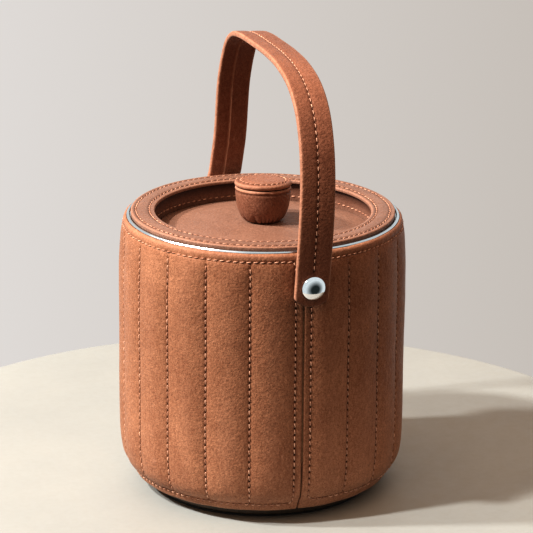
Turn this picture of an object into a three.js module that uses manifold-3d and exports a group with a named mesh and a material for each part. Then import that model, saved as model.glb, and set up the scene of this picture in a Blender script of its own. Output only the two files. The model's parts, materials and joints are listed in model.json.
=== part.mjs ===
// Leather-clad ice bucket: an insulated steel liner in a quilted leather jacket, with a recessed lid,
// a round knob and a swing handle made of a folded leather strap.
// Units are millimetres and +Z is up. The origin is on the floor, on the bucket's axis.
// The handle's pivot axis lies along Y, and its front stud is on the -Y side.
import * as THREE from 'three';
import { mergeVertices } from 'three/addons/utils/BufferGeometryUtils.js';
import Module from 'manifold-3d';

const wasm = await Module();
wasm.setup();

// ---- driving dimensions -------------------------------------------------------------------------
const GAP = 0.3;                    // air kept between neighbouring pieces
const BODY_R = 95;                  // outside of the leather at its fullest
const RIM_Z = 184;                  // top of the tub's flange and of the leather around it
const LEATHER_T = 1.6;              // thickness of the jacket leather

const FOOT_R = 75;                  // recessed plinth under the bucket
const FOOT_PAD_T = 1.3;
const FOOT_TOP = 9.4;
const BASE_TOP = 19;                // top of the board that closes the jacket

const TUB_R = 77.4;                 // inside radius of the ice tub
const STEEL_T = 0.8;
const TUB_FLOOR = 28.8;             // underside of the tub's floor
const SLEEVE_R = 82.3;              // outside radius of the foam sleeve
const CORE_IN_R = 88.2;             // rigid board tube that carries the jacket and the studs
const CORE_OUT_R = 91.2;
const RIM_OUT_R = 89.6;             // outer edge of the tub's flange
const BEAD_H = 0.8;                 // raised bead along that edge

const FRONT_SEAM_DEG = -2.2;        // butt seams between the two leather panels, measured from -Y towards +X
const REAR_SEAM_DEG = 172.4;
const SEAM_W = 0.7;                 // open width of a butt seam
const BACKING_W = 14.6;             // strip glued behind each seam

const PIVOT_Z = 163.5;              // height of the handle's pivot
const HANDLE_LEAN_DEG = 3.5;        // the handle rests leaning a little towards +X
const STRAP_W = 22.8;
const STRAP_T = 4;
const STRAP_S = 98.2;               // from the axis to the middle of the strap at the studs
const STRAP_WALL = 1.2;             // leather of the folded strap
const STRAP_SLIT = 0.5;             // butt seam on the strap's inner face
const STRAP_TIP = 12.5;             // from the pivot down to the strap's tip
const TIP_R = 16.2;                 // radius of the rounded tip
const STUD_R = 7.5;
const STUD_H = 5.2;
const SHANK_R = 2.1;

const LID_R = 87;                   // outer edge of the lid's ring
const LID_TOP = 188;
const WELL_EDGE_R = 71;             // inner edge of the ring, over the well
const WELL_R = 73.5;                // wall of the well
const FLOOR_EDGE_Z = 172.5;         // the well's floor is a low dome
const FLOOR_TOP_Z = 180;
const PLUG_R = 75.9;                // outside of the steel pan that plugs the tub
const PLUG_Z = 162;                 // underside of that pan
const KNOB_TOP = 208;

const BIG_STEPS = 32;               // sides of the large turned pieces, the same on all so that gaps stay even
const SMALL_STEPS = 12;

// ---- finishes -----------------------------------------------------------------------------------
const FINISHES = {
  leather: { color: 0x9c5f3f, roughness: 0.62, metalness: 0 },
  strapLeather: { color: 0x8a5034, roughness: 0.6, metalness: 0 },
  board: { color: 0x8a7358, roughness: 0.9, metalness: 0 },
  foam: { color: 0xe6dfcf, roughness: 0.95, metalness: 0 },
  padding: { color: 0xd9cfbd, roughness: 1, metalness: 0 },
  steel: { color: 0xc4c8cb, roughness: 0.28, metalness: 1 },
  chrome: { color: 0xe4e7ea, roughness: 0.08, metalness: 1 },
  brass: { color: 0xb08d4c, roughness: 0.35, metalness: 1 },
  rubber: { color: 0x2b2926, roughness: 0.85, metalness: 0 },
  plinth: { color: 0x3b2b20, roughness: 0.75, metalness: 0 },
  wood: { color: 0xb58a5b, roughness: 0.7, metalness: 0 },
};

const bucket = new THREE.Group();
bucket.name = 'ice_bucket';
const handle = new THREE.Group();
handle.position.set(0, 0, PIVOT_Z);
handle.rotation.y = THREE.MathUtils.degToRad(HANDLE_LEAN_DEG);
bucket.add(handle);

function addPart(name, geometry, finish, parent = bucket) {
  const mesh = new THREE.Mesh(geometry, new THREE.MeshStandardMaterial(FINISHES[finish]));
  mesh.name = name;
  parent.add(mesh);
}

// ---- geometry helpers ---------------------------------------------------------------------------
// A turned piece about Z. The [radius, height] profile runs anticlockwise, so it goes up on the outside.
function turned(profile, steps = BIG_STEPS) {
  const closed = profile[0][0] > 0 || profile[profile.length - 1][0] > 0;
  const points = profile.map(([r, z]) => new THREE.Vector2(r, z));
  if (closed) points.push(points[0].clone());
  return new THREE.LatheGeometry(points, steps).rotateX(Math.PI / 2);
}

// A plain ring with a rectangular section.
function ring(innerR, outerR, lowZ, highZ, steps = BIG_STEPS) {
  return turned([[innerR, lowZ], [outerR, lowZ], [outerR, highZ], [innerR, highZ]], steps);
}

function disc(radius, lowZ, highZ, steps = BIG_STEPS) {
  return turned([[0, lowZ], [radius, lowZ], [radius, highZ], [0, highZ]], steps);
}

function toSolid(geometry) {
  const bare = geometry.clone();
  bare.deleteAttribute('normal');
  bare.deleteAttribute('uv');
  const merged = mergeVertices(bare, 1e-4);
  const corners = merged.index.array;
  const triangles = [];
  for (let i = 0; i < corners.length; i += 3) {
    const [a, b, c] = corners.slice(i, i + 3);
    if (a !== b && b !== c && c !== a) triangles.push(a, b, c);
  }
  return new wasm.Manifold(new wasm.Mesh({
    numProp: 3,
    vertProperties: new Float32Array(merged.attributes.position.array),
    triVerts: new Uint32Array(triangles),
  }));
}

function toGeometry(solid) {
  const mesh = solid.getMesh();
  const geometry = new THREE.BufferGeometry();
  geometry.setAttribute('position', new THREE.BufferAttribute(mesh.vertProperties, 3));
  geometry.setIndex(new THREE.BufferAttribute(mesh.triVerts, 1));
  geometry.computeVertexNormals();
  return geometry;
}

function cut(geometry, cutters) {
  let solid = toSolid(geometry);
  for (const cutter of cutters) solid = solid.subtract(toSolid(cutter));
  return toGeometry(solid);
}

// A rod or a drill along Y, through both sides of the bucket at the pivot's height.
function pivotDrill(radius, height = PIVOT_Z) {
  return new THREE.CylinderGeometry(radius, radius, 260, SMALL_STEPS).translate(0, 0, height);
}

// An upright slab that reaches outwards from the axis in the direction of a seam.
function seamSlab(degrees, width) {
  const slab = new THREE.BoxGeometry(width, 2 * BODY_R, 2 * RIM_Z + 80).translate(0, -BODY_R - 40, RIM_Z / 2);
  return slab.rotateZ(THREE.MathUtils.degToRad(degrees));
}

// Splits a turned jacket layer along both seams into a left (-X) and a right (+X) half.
function splitAtSeams(geometry, width, drillR) {
  const slabs = [seamSlab(FRONT_SEAM_DEG, width), seamSlab(REAR_SEAM_DEG, width)];
  const whole = cut(geometry, [...slabs, pivotDrill(drillR)]);
  const halves = toSolid(whole).decompose().map(toGeometry);
  const sideOf = (half) => {
    half.computeBoundingBox();
    return half.boundingBox.min.x + half.boundingBox.max.x;
  };
  return halves.sort((a, b) => sideOf(a) - sideOf(b));
}

// Turns a piece made upright, pointing up from the axis, so that it points out of one side.
function outOfSide(geometry, side) {
  return geometry.rotateX(side * Math.PI / 2).translate(0, 0, PIVOT_Z);
}

// ---- foot and base ------------------------------------------------------------------------------
const SCREW_RING_R = 55;

function addFoot() {
  const screwPlaces = [0, 1, 2, 3].map((i) => {
    const angle = Math.PI / 4 + i * Math.PI / 2;
    return [SCREW_RING_R * Math.cos(angle), SCREW_RING_R * Math.sin(angle)];
  });
  const footDrills = [];
  const baseDrills = [];
  for (const [x, y] of screwPlaces) {
    footDrills.push(disc(2.4, -1, 20, SMALL_STEPS).translate(x, y, 0));
    footDrills.push(disc(4.2, -1, 4.9, SMALL_STEPS).translate(x, y, 0));
    baseDrills.push(disc(2.3, 0, 17.5, SMALL_STEPS).translate(x, y, 0));
  }
  addPart('foot_pad', disc(FOOT_R - 1, 0, FOOT_PAD_T), 'rubber');
  addPart('foot_disc', cut(disc(FOOT_R, FOOT_PAD_T + GAP, FOOT_TOP), footDrills), 'plinth');
  const baseProfile = [
    [0, FOOT_TOP + GAP], [82.4, FOOT_TOP + GAP], [84.6, 13.9], [86.6, 16.4], [88.2, BASE_TOP], [0, BASE_TOP],
  ];
  addPart('base_board', cut(turned(baseProfile), baseDrills), 'board');
  screwPlaces.forEach(([x, y], i) => {
    const screw = [[0, 2.2], [2.6, 2.2], [3.7, 3], [3.7, 4.5], [1.9, 4.5], [1.9, 16], [0, 17]];
    addPart(`base_screw_${i + 1}`, turned(screw, SMALL_STEPS).translate(x, y, 0), 'steel');
  });
}

// ---- liner and insulation -----------------------------------------------------------------------
function addLiner() {
  const outR = TUB_R + STEEL_T;
  const tub = [
    [0, TUB_FLOOR], [outR - 3, TUB_FLOOR], [outR, TUB_FLOOR + 3], [outR, RIM_Z - STEEL_T],
    [RIM_OUT_R, RIM_Z - STEEL_T], [RIM_OUT_R, RIM_Z], [RIM_OUT_R - 0.6, RIM_Z + BEAD_H],
    [RIM_OUT_R - 1.5, RIM_Z + BEAD_H], [RIM_OUT_R - 2.1, RIM_Z],
    [TUB_R, RIM_Z], [TUB_R, TUB_FLOOR + 3.3], [TUB_R - 2.6, TUB_FLOOR + STEEL_T], [0, TUB_FLOOR + STEEL_T],
  ];
  addPart('liner_inner_tub', turned(tub), 'steel');

  const wallTop = RIM_Z - STEEL_T - GAP;
  addPart('insulation_sleeve', ring(outR + GAP, SLEEVE_R, TUB_FLOOR, wallTop), 'foam');
  const shellIn = SLEEVE_R + GAP;
  const shellOut = shellIn + STEEL_T;
  const shellLow = BASE_TOP + 0.4;
  const shell = [
    [0, shellLow], [shellOut, shellLow], [shellOut, wallTop], [shellIn, wallTop],
    [shellIn, shellLow + STEEL_T], [0, shellLow + STEEL_T],
  ];
  addPart('liner_outer_shell', turned(shell), 'steel');
  addPart('insulation_disc', disc(SLEEVE_R, shellLow + STEEL_T + GAP, TUB_FLOOR - GAP), 'foam');
}

// ---- jacket: rigid core, padding, seam backings and two leather panels ---------------------------
function addJacket() {
  const core = [
    [CORE_IN_R, 19.4], [89, 19.4], [90.4, 22], [CORE_OUT_R, 25],
    [CORE_OUT_R, 172], [89.8, 178.4], [89.4, 182.8], [CORE_IN_R, 182.8],
  ];
  addPart('core_shell', cut(turned(core), [pivotDrill(2.7)]), 'board');

  const paddingIn = CORE_OUT_R + GAP;
  const paddingOut = BODY_R - LEATHER_T - GAP;
  const padding = [
    [paddingIn, 27], [92.2, 30], [92.9, 38], [paddingOut, 44],
    [paddingOut, 150], [92.8, 161], [92.2, 168], [paddingIn, 171],
  ];
  const [paddingLeft, paddingRight] = splitAtSeams(turned(padding), BACKING_W + 1.8, 2.7);
  addPart('padding_left', paddingLeft, 'padding');
  addPart('padding_right', paddingRight, 'padding');

  const backingLayer = toSolid(ring(92.2, paddingOut, 44, 150));
  const seams = { front: FRONT_SEAM_DEG, rear: REAR_SEAM_DEG };
  for (const [side, degrees] of Object.entries(seams)) {
    const strip = backingLayer.intersect(toSolid(seamSlab(degrees, BACKING_W)));
    addPart(`seam_backing_${side}`, toGeometry(strip), 'board');
  }

  const outside = [
    [77, 7.7], [83.2, 7.7], [84.6, 8.8], [86.6, 13.2], [90.4, 16.6], [92.5, 20.4], [94, 27], [BODY_R, 42],
    [BODY_R, 150], [94.4, 166], [93.3, 175.2], [92, 180.6], [91.1, 183.4], [90, RIM_Z],
  ];
  const inside = [
    [90, 182.4], [90.3, 179], [92.2, 172], [93.1, 161], [BODY_R - LEATHER_T, 150],
    [BODY_R - LEATHER_T, 42], [92.5, 28], [90.8, 21.6], [88.8, 17.8], [85.2, 14.4], [83.2, 9.3], [77, 9.3],
  ];
  const [panelLeft, panelRight] = splitAtSeams(turned([...outside, ...inside]), SEAM_W, 2.7);
  addPart('leather_panel_left', panelLeft, 'leather');
  addPart('leather_panel_right', panelRight, 'leather');
}

// A six-sided nut with a round bore.
function hexNut(boreR, cornerR, lowZ, highZ) {
  return cut(disc(cornerR, lowZ, highZ, 6), [disc(boreR, lowZ - 1, highZ + 1, SMALL_STEPS)]);
}

// ---- studs that carry the handle ----------------------------------------------------------------
function addStuds() {
  const faceS = STRAP_S + STRAP_T / 2 + GAP;
  const dome = [
    [0, 84.3], [SHANK_R, 84.3], [SHANK_R, faceS], [STUD_R - 0.6, faceS], [STUD_R, faceS + 0.6],
    [STUD_R - 0.2, faceS + 2], [STUD_R - 1.4, faceS + 3.7], [STUD_R - 3.6, faceS + 4.8], [0, faceS + STUD_H],
  ];
  const boreR = SHANK_R + 0.25;
  const sides = { front: 1, rear: -1 };
  for (const [name, side] of Object.entries(sides)) {
    addPart(`handle_stud_${name}`, outOfSide(turned(dome, 16), side), 'chrome');
    addPart(`stud_spacer_${name}`, outOfSide(ring(boreR, 6, 95.3, 95.9, 16), side), 'brass');
    addPart(`stud_washer_${name}`, outOfSide(ring(boreR, 5, 87, 87.7, 16), side), 'steel');
    addPart(`stud_nut_${name}`, outOfSide(hexNut(boreR, 3.9, 84.6, 86.7), side), 'steel');
  }
}

// ---- handle: folded leather strap over a flexible core -------------------------------------------
// Middle line of the strap as [distance from the axis towards the front stud, height above the floor].
const STRAP_LINE = [
  [STRAP_S, 150], [STRAP_S, 163.5], [STRAP_S, 170.5], [STRAP_S, 182], [98.1, 199], [96.8, 217], [93.6, 236], [86.8, 255],
  [75.5, 272], [58.5, 284.2], [36, 291.2], [10, 294.1], [-18, 294.6], [-42, 294.2], [-58, 291.8], [-68.8, 285],
  [-75.6, 273], [-80.6, 256.5], [-84.8, 237], [-89, 216], [-93.4, 196], [-96.8, 181],
  [-STRAP_S, 170.5], [-STRAP_S, 163.5], [-STRAP_S, 150],
];
const STRAP_STEPS = 42;

function strapPath() {
  const points = STRAP_LINE.map(([s, z]) => new THREE.Vector3(0, -s, z - PIVOT_Z));
  return new THREE.CatmullRomCurve3(points, false, 'centripetal');
}

// Sweeps a section along the strap. A section point is [across the strap, outwards].
function alongStrap(section) {
  const shape = new THREE.Shape(section.map(([across, outwards]) => new THREE.Vector2(outwards, across)));
  return new THREE.ExtrudeGeometry(shape, { steps: STRAP_STEPS, extrudePath: strapPath() });
}

// Cuts both tips of a strap layer to an arc whose lowest point is `drop` below the pivot.
function roundTips(geometry, drop, radius) {
  const block = new THREE.BoxGeometry(4 * STRAP_W, 260, 40).translate(0, 0, -5 - 20);
  const round = new THREE.CylinderGeometry(radius, radius, 280, 48).translate(0, 0, radius - drop);
  return cut(geometry, [toGeometry(toSolid(block).subtract(toSolid(round)))]);
}

function addHandle() {
  const w = STRAP_W / 2;
  const t = STRAP_T / 2;
  const cavityW = w - STRAP_WALL - 0.1;
  const cavityT = t - STRAP_WALL;
  const slit = STRAP_SLIT / 2;
  const halfOutline = [
    [slit, -t], [w - 1.3, -t], [w - 0.4, -t + 0.4], [w, -t + 1.3],
    [w, t - 1.3], [w - 0.4, t - 0.4], [w - 1.3, t],
  ];
  const halfCavity = [[cavityW, cavityT], [cavityW, -cavityT], [slit, -cavityT]];
  const mirrored = (points) => points.map(([x, y]) => [-x, y]).reverse();
  const wrap = [...halfOutline, ...mirrored(halfOutline), ...mirrored(halfCavity), ...halfCavity];
  const eyeletHole = pivotDrill(3.7, 0);
  addPart('handle_strap', cut(roundTips(alongStrap(wrap), STRAP_TIP, TIP_R), [eyeletHole]), 'strapLeather', handle);

  const coreW = cavityW - GAP;
  const coreT = cavityT - GAP;
  const core = [[coreW, -coreT], [coreW, coreT], [-coreW, coreT], [-coreW, -coreT]];
  addPart('handle_core', cut(roundTips(alongStrap(core), STRAP_TIP - 1.6, TIP_R - 1.6), [eyeletHole]), 'board', handle);

  const eyelet = () => ring(2.5, 3.4, STRAP_S - STRAP_T / 2 + 0.1, STRAP_S + STRAP_T / 2 - 0.1, SMALL_STEPS);
  addPart('handle_eyelet_front', eyelet().rotateX(Math.PI / 2), 'brass', handle);
  addPart('handle_eyelet_rear', eyelet().rotateX(-Math.PI / 2), 'brass', handle);
}

// ---- lid ----------------------------------------------------------------------------------------
function addLidShell() {
  const panFlange = RIM_Z + GAP;
  const ringLeather = [
    [LID_R - 1.2, 184.6], [LID_R, 184.6], [LID_R, 186.4], [LID_R - 0.4, 187.3], [LID_R - 1.4, 187.9],
    [LID_R - 2.6, LID_TOP], [WELL_EDGE_R + 1.8, LID_TOP], [WELL_EDGE_R + 0.6, 187.7], [WELL_EDGE_R, 186.9],
    [WELL_EDGE_R, 185.3], [WELL_EDGE_R + 1.2, 185.3], [WELL_EDGE_R + 1.2, 186.8], [LID_R - 1.2, 186.8],
  ];
  addPart('lid_ring_leather', turned(ringLeather), 'leather');
  addPart('lid_ring_core', ring(WELL_EDGE_R + 1.5, LID_R - 1.6, 185.2, 186.5), 'board');

  const panIn = PLUG_R - STEEL_T;
  const pan = [
    [0, PLUG_Z], [PLUG_R - 1, PLUG_Z], [PLUG_R, PLUG_Z + 1], [PLUG_R, panFlange], [LID_R - 1.6, panFlange],
    [LID_R - 1.6, panFlange + 0.6], [panIn, panFlange + 0.6], [panIn, PLUG_Z + STEEL_T], [0, PLUG_Z + STEEL_T],
  ];
  addPart('lid_pan', turned(pan), 'steel');
  addPart('lid_gasket', ring(PLUG_R + GAP, TUB_R - GAP, 176, 181), 'rubber');
  addPart('lid_well_leather', ring(WELL_R, WELL_R + 1.3, 170.6, 184.9), 'leather');
}

// The well's floor rises from its edge to the knob; each layer below it follows the same dome.
function domeProfile(innerR, outerR, drop, thickness) {
  const rise = FLOOR_TOP_Z - FLOOR_EDGE_Z;
  const radii = [0.42, 0.62, 0.79, 0.91, 1].map((part) => part * outerR);
  const heightAt = (r) => FLOOR_EDGE_Z + rise * (1 - (r / outerR) ** 2.4) - drop;
  const under = [innerR, ...radii].map((r) => [r, heightAt(r) - thickness]);
  const over = [innerR, ...radii].map((r) => [r, heightAt(r)]).reverse();
  return [...under, ...over];
}

function addLidFloor() {
  const floorT = 1.4;
  const boardT = 1.8;
  const screwHoleR = 3;
  addPart('lid_floor_leather', turned(domeProfile(screwHoleR, WELL_R - GAP, 0, floorT)), 'leather');
  addPart('lid_floor_board', turned(domeProfile(screwHoleR, WELL_R - 0.5, floorT + GAP, boardT)), 'board');
  const foam = domeProfile(8, WELL_R - 0.6, floorT + boardT + 2 * GAP, 1).slice(6);
  const foamLow = PLUG_Z + STEEL_T + GAP;
  const foamR = PLUG_R - STEEL_T - GAP;
  const foamProfile = [[0, foamLow], [foamR, foamLow], [foamR, 168], ...foam, [8, 171], [0, 171]];
  addPart('lid_insulation', turned(foamProfile), 'foam');
}

function addKnob() {
  const steps = 20;
  const core = [
    [0, 181.8], [10.2, 181.8], [12.6, 184.8], [14.4, 190.2], [15.6, 197.1], [15.9, 204.3], [0, 204.3],
  ];
  addPart('knob_core', cut(turned(core, steps), [disc(2.4, 170, 197, SMALL_STEPS)]), 'wood');
  const side = [
    [5, 180.3], [10.6, 180.3], [12.4, 181.6], [14.2, 184.4], [16, 190], [17.4, 197], [18.2, 202.2],
    [16.3, 202.2], [15.9, 197], [14.7, 190.1], [13, 184.7], [11.4, 182.2], [10.2, 181.5], [5, 181.5],
  ];
  addPart('knob_side_leather', turned(side, steps), 'leather');
  const bead = [
    [16.3, 202.6], [18, 202.6], [18.8, 203.5], [18.8, 205.2], [18, 206.2], [16.9, 206.5], [16.3, 206.3],
  ];
  addPart('knob_bead', turned(bead, steps), 'leather');
  const cap = [[0, 204.7], [15.6, 204.7], [16, 205.2], [16, 206.9], [15.4, 207.5], [10, 207.9], [0, KNOB_TOP]];
  addPart('knob_cap_leather', turned(cap, steps), 'leather');
  addPart('knob_washer', ring(2.4, 7, 175.4, 176.2, SMALL_STEPS), 'steel');
  const screw = [[0, 172.2], [3.2, 172.2], [4, 173], [4, 175.1], [2, 175.1], [2, 195], [0, 196]];
  addPart('knob_screw', turned(screw, SMALL_STEPS), 'steel');
}

addFoot();
addLiner();
addJacket();
addStuds();
addHandle();
addLidShell();
addLidFloor();
addKnob();

export default bucket;
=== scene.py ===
# The looks of a leather-clad ice bucket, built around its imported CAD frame.
# Shapes are worked out in millimetres, in the frame's own axes, and turned into metres when a mesh is made.
# An azimuth is in degrees from -Y towards +X, so that 0 is the front stud.
import json
import math

import bmesh
import bpy
import numpy as np
from mathutils import Matrix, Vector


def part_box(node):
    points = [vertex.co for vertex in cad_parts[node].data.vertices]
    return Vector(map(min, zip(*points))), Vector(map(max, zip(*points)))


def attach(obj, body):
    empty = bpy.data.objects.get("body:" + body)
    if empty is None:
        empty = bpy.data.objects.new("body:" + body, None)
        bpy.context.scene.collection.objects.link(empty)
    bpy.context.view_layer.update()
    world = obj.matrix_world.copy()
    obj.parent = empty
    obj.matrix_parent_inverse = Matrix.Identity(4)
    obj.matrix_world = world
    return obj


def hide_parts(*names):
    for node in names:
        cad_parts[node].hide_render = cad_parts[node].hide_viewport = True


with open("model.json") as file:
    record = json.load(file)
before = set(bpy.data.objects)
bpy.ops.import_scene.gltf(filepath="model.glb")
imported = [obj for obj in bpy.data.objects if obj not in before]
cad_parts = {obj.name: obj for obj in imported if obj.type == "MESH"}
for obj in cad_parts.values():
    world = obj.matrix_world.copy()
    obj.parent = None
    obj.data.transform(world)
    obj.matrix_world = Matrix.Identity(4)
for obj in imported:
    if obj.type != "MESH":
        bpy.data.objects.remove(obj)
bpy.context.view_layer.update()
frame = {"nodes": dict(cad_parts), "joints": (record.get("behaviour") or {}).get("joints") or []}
rng = np.random.default_rng(7)
MM = 0.001


# ---- sizes: the outer ones are read from the frame ---------------------------------------------
def box_mm(node):
    low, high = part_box(node)
    return np.array(low) / MM, np.array(high) / MM


RIM_R, _, BEAD_TOP = box_mm("liner_inner_tub")[1]
RIM_Z = BEAD_TOP - 0.8
RAISED_BEAD = BEAD_TOP + 0.35
CORE_R = box_mm("core_shell")[1][0]
TUB_LOW = box_mm("liner_inner_tub")[0][2]
FOOT_R, _, FOOT_TOP = box_mm("foot_disc")[1]
FOOT_LOW = box_mm("foot_disc")[0][2]
PAD_R, _, PAD_TOP = box_mm("foot_pad")[1]
LID_R, _, LID_TOP = box_mm("lid_ring_leather")[1]
LID_LOW = box_mm("lid_ring_leather")[0][2]
PLUG_Z = box_mm("lid_pan")[0][2]
KNOB_TOP = box_mm("knob_cap_leather")[1][2]
STUD_R = box_mm("handle_stud_front")[1][0]
PIVOT_Z = next(joint for joint in frame["joints"] if joint["type"] == "hinge")["pos_m"][2] / MM

# The jacket: its two seams (azimuths), its channels, and its rows of stitches.
BODY_R = 95.0
LEATHER_T = 1.1
CROWN = 1.45
FRONT_SEAM = -2.2
REAR_SEAM = 172.4
BACKING_HALF = 8.2
CHANNELS = 10
STITCH = 4.5
SEAM_ROW = 5.3
TOP_ROW_Z = 179.0

# The tub's mouth and the lid's recess.
TUB_R = 77.4
WELL_R = 73.5
WELL_EDGE_R = 71.0
FLOOR_EDGE_Z = 172.5
FLOOR_RISE = 7.5

# The strap: where its straight legs are, its bow (rear leg only), its lean, and its round tips.
STRAP_W = 22.8
STRAP_T = 4.0
STRAP_S = 98.2
STRAP_LEAN = math.radians(3.5)
STRAP_BOW = 2.9
TIP_R = 16.2
FIRST_STITCH = 18.5

# The knob's lean, as a slope, and the azimuth that the camera looks along.
KNOB_LEAN = 0.055
VIEW_HEADING = 18.68

JACKET_OUTLINE = [
    (77, 7.7), (80, 7.6), (83.2, 7.8), (85, 9.2), (86.9, 13.2), (90.2, 17), (92.6, 21.4), (94, 28),
    (94.8, 37), (95, 48), (95, 95), (95, 140), (94.8, 154), (94.2, 166), (93.3, 174.6), (92.3, 180),
    (91.4, 183), (90, 184),
]
STRAP_LINE = [
    (98.2, 155.5), (98.2, 163.5), (98.2, 170.5), (98.2, 182), (98.1, 199), (96.8, 217), (93.6, 236),
    (86.8, 255), (75.5, 272), (58.5, 284.2), (36, 291.2), (10, 294.1), (-18, 294.6), (-42, 294.2),
    (-58, 291.8), (-68.8, 285), (-75.6, 273), (-80.6, 256.5), (-84.8, 237), (-89, 216), (-93.4, 196),
    (-96.8, 181), (-98.2, 170.5), (-98.2, 163.5), (-98.2, 155.5),
]


# ---- curves ------------------------------------------------------------------------------------
def resample(line, spacing):
    """The same line with even steps of about `spacing`."""
    length = arc_length(line)
    at = np.linspace(0, length[-1], max(2, round(length[-1] / spacing)) + 1)
    return np.stack([np.interp(at, length, line[:, k]) for k in range(line.shape[1])], -1)


def arc_length(line):
    return np.concatenate([[0], np.cumsum(np.linalg.norm(np.diff(line, axis=0), axis=1))])


def spline(points, spacing):
    """A centripetal Catmull-Rom curve through 2-D points, in even steps of about `spacing`."""
    p = np.array(points, float)
    p = np.vstack([2 * p[0] - p[1], p, 2 * p[-1] - p[-2]])
    t = np.concatenate([[0], np.cumsum(np.sqrt(np.linalg.norm(np.diff(p, axis=0), axis=1)))])
    pieces = []
    for i in range(1, len(p) - 2):
        u = np.linspace(t[i], t[i + 1], 24, endpoint=False)[:, None]

        def between(a, b, ta, tb, at=u):
            return ((tb - at) * a + (at - ta) * b) / (tb - ta)

        a1 = between(p[i - 1], p[i], t[i - 1], t[i])
        a2 = between(p[i], p[i + 1], t[i], t[i + 1])
        a3 = between(p[i + 1], p[i + 2], t[i + 1], t[i + 2])
        b1 = between(a1, a2, t[i - 1], t[i + 1])
        b2 = between(a2, a3, t[i], t[i + 2])
        pieces.append(between(b1, b2, t[i], t[i + 1]))
    return resample(np.vstack([*pieces, p[-2]]), spacing)


def rounded(corners, spacing=0.8, steps=5):
    """An outline through (r, z, fillet radius) corners, in steps of at most `spacing`."""
    out = []
    for i, (r, z, radius) in enumerate(corners):
        here = np.array((r, z), float)
        if radius <= 0:
            out.append(here)
            continue
        before = np.array(corners[i - 1][:2], float) - here
        after = np.array(corners[(i + 1) % len(corners)][:2], float) - here
        before /= np.linalg.norm(before)
        after /= np.linalg.norm(after)
        reach = radius / math.tan(math.acos(np.clip(before @ after, -1, 1)) / 2)
        for u in np.linspace(0, 1, steps):
            out.append(here + before * reach * (1 - u) ** 2 + after * reach * u**2)
    fine = []
    for a, b in zip(out, [*out[1:], out[-1]]):
        count = max(1, math.ceil(np.linalg.norm(b - a) / spacing))
        fine += [a + (b - a) * k / count for k in range(count)]
    return np.array(fine)


def smoothstep(low, high, value):
    t = np.clip((value - low) / (high - low), 0, 1)
    return t * t * (3 - 2 * t)


def groove(distance, width):
    """The cross-section of a sewn channel, from 1 on its row to 0 far from it."""
    return 0.62 * np.exp(-distance / width) + 0.38 * np.exp(-((distance / 0.85) ** 2))


def needle_pit(distance, phase):
    """From 1 at a needle hole to 0 away from it. `phase` counts stitches along the row."""
    off = np.abs(phase - np.round(phase)) * STITCH
    return np.exp(-((off / 1.0) ** 2) - (distance / 0.9) ** 2)


def sway(x, y, scale):
    """A smooth wandering number from -1 to 1, for surfaces that aren't quite even."""
    u, v = x / scale, y / scale
    first = np.sin(u + 1.7 * np.sin(0.6 * v))
    second = np.sin(1.3 * v + 1.1 * np.sin(0.8 * u + 2))
    return (first + second + np.sin(0.7 * (u + v))) / 3


# ---- meshes ------------------------------------------------------------------------------------
def make_piece(name, points, faces, body, material, marks=None, replaces=()):
    """A smooth mesh piece that rides on a body. `marks` are per-vertex numbers that its material reads."""
    mesh = bpy.data.meshes.new(name)
    mesh.from_pydata((np.asarray(points) * MM).tolist(), [], faces)
    for label, values in (marks or {}).items():
        layer = mesh.attributes.new(label, "FLOAT", "POINT")
        layer.data.foreach_set("value", np.asarray(values, np.float32).ravel())
    work = bmesh.new()
    work.from_mesh(mesh)
    bmesh.ops.remove_doubles(work, verts=work.verts, dist=3e-6)
    bmesh.ops.recalc_face_normals(work, faces=work.faces)
    work.to_mesh(mesh)
    work.free()
    mesh.polygons.foreach_set("use_smooth", [True] * len(mesh.polygons))
    mesh.materials.append(MATERIALS[material])
    piece = bpy.data.objects.new(name, mesh)
    bpy.context.scene.collection.objects.link(piece)
    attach(piece, body)
    if replaces:
        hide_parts(*replaces)
    return piece


def grid_faces(rows, columns, loop_rows=False, loop_columns=False):
    i, j = np.meshgrid(
        np.arange(rows if loop_rows else rows - 1),
        np.arange(columns if loop_columns else columns - 1),
        indexing="ij",
    )
    i2, j2 = (i + 1) % rows, (j + 1) % columns
    corners = [i * columns + j, i2 * columns + j, i2 * columns + j2, i * columns + j2]
    return np.stack(corners, -1).reshape(-1, 4).tolist()


def shell_faces(rows, columns):
    """Faces that close two grids of the same size, numbered one after the other."""
    count = rows * columns
    front = grid_faces(rows, columns)
    edge = [
        *range(columns), *range(2 * columns - 1, count, columns),
        *range(count - 2, count - columns - 1, -1), *range(count - 2 * columns, 0, -columns),
    ]
    sides = [[a, b, b + count, a + count] for a, b in zip(edge, [*edge[1:], edge[0]])]
    return front + [[corner + count for corner in reversed(face)] for face in front] + sides


def around(radius, degrees, z):
    angle = np.radians(degrees)
    return np.stack(np.broadcast_arrays(radius * np.sin(angle), -radius * np.cos(angle), z), -1)


def about_pivot(radius, degrees, along, sign):
    """Points turned about the studs' axis, with `along` measured outwards from the bucket's middle."""
    angle = np.radians(degrees)
    spots = np.broadcast_arrays(radius * np.cos(angle), -sign * along, PIVOT_Z + radius * np.sin(angle))
    return np.stack(spots, -1)


def turned(
    name, outline, body, material, steps, closed, shape=None, replaces=(), marks=None, place=around,
):
    """Turns an (r, z) outline. `shape` and `marks` take r, z and degrees, and return new (r, z) and marks."""
    angle = np.repeat(np.arange(steps)[:, None] * 360.0 / steps, len(outline), axis=1)
    r = np.repeat(outline[None, :, 0], steps, axis=0)
    z = np.repeat(outline[None, :, 1], steps, axis=0)
    values = marks(r, z, angle) if marks else {}
    if shape is not None:
        r, z = shape(r, z, angle)
    points = place(r, angle, z).reshape(-1, 3)
    faces = grid_faces(steps, len(outline), True, closed)
    return make_piece(name, points, faces, body, material, values, replaces)


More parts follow.
